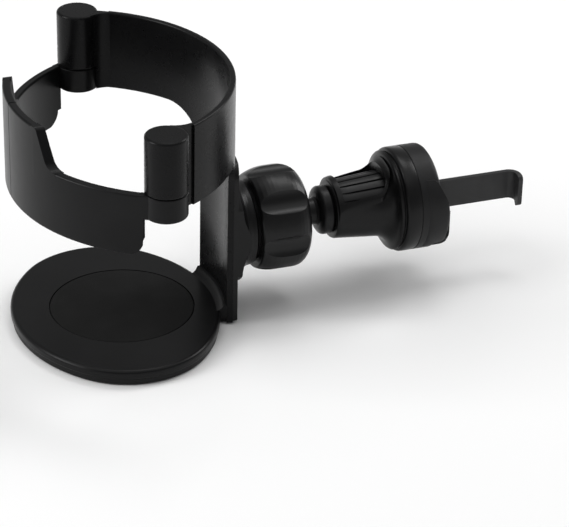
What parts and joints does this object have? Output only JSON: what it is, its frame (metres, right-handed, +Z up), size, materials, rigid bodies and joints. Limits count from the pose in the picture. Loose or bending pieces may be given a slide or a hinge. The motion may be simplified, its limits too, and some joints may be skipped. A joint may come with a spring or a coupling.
{
  "type": "car cup holder",
  "caption": "Cup holder for a car air vent: open ring with sprung gripping arms, round tray on a column, and a ball joint carrying a vent clip with a screw-driven hook.",
  "frame": {"origin": "On the underside of the tray, straight below the middle of the cup, midway between the two arm hinges.", "axes": "+Z up along the cup's axis; +X from the cup towards the vent clip and its hook; +Y to the left when looking from the cup to the vent."},
  "size_m": [0.1755, 0.1094, 0.09],
  "materials": {
    "satin_black": "satin black moulded plastic",
    "matte_black": "fine-grained black moulded plastic",
    "black_rubber": "matte black rubber",
    "dark_strap": "matte dark grey plastic",
    "steel": "bright steel",
    "natural_plastic": "undyed smooth bearing plastic"
  },
  "bodies": {
    "vent_clip": {"clip_housing": "satin_black", "knob_retainer": "steel", "jaw_plate": "matte_black", "jaw_tips": "black_rubber", "clip_screws": "steel", "ball_stud": "satin_black", "stud_screw": "steel"},
    "knob": {"clip_knob": "matte_black"},
    "hook": {"hook_strap": "dark_strap", "hook_shank": "steel", "hook_rivet": "steel"},
    "seat": {"ball_seat": "natural_plastic"},
    "holder": {"holder_body": "satin_black", "base_tray": "satin_black", "base_cover": "satin_black", "base_pad": "black_rubber", "base_screws": "steel", "back_bracket": "satin_black", "left_hinge_pin": "steel", "right_hinge_pin": "steel", "left_arm_spring": "steel", "right_arm_spring": "steel"},
    "nut": {"lock_nut": "satin_black"},
    "left_grip": {"left_arm": "satin_black"},
    "right_grip": {"right_arm": "satin_black"}
  },
  "joints": [
    {"name": "knob_turn", "type": "hinge", "parent": "vent_clip", "child": "knob", "pos_m": [0.0832, 0, 0.0293], "axis": [1, 0, 0], "range_deg": [0, 1200]},
    {"name": "hook_pull", "type": "slide", "parent": "vent_clip", "child": "hook", "axis": [-1, 0, 0], "range_m": [0, 0.01]},
    {"name": "ball_tilt", "type": "hinge", "parent": "vent_clip", "child": "seat", "pos_m": [0.05188, 0, 0.0293], "axis": [0, 1, 0], "range_deg": [-20, 20]},
    {"name": "ball_swivel", "type": "hinge", "parent": "seat", "child": "holder", "pos_m": [0.05188, 0, 0.0293], "axis": [1, 0, 0], "continuous": true},
    {"name": "nut_turn", "type": "hinge", "parent": "holder", "child": "nut", "pos_m": [0.05188, 0, 0.0293], "axis": [1, 0, 0], "range_deg": [-90, 0]},
    {"name": "left_arm_hinge", "type": "hinge", "parent": "holder", "child": "left_grip", "pos_m": [0, 0.048, 0.067], "axis": [0, 0, -1], "range_deg": [0, 35], "stiffness_Nm_per_rad": 0.12, "springref_deg": -45.84},
    {"name": "right_arm_hinge", "type": "hinge", "parent": "holder", "child": "right_grip", "pos_m": [0, -0.048, 0.067], "axis": [0, 0, 1], "range_deg": [0, 35], "stiffness_Nm_per_rad": 0.12, "springref_deg": -45.84}
  ],
  "couplings": [
    {"joint": "hook_pull", "follows": "knob_turn", "m_per_rad": 0.000477}
  ]
}
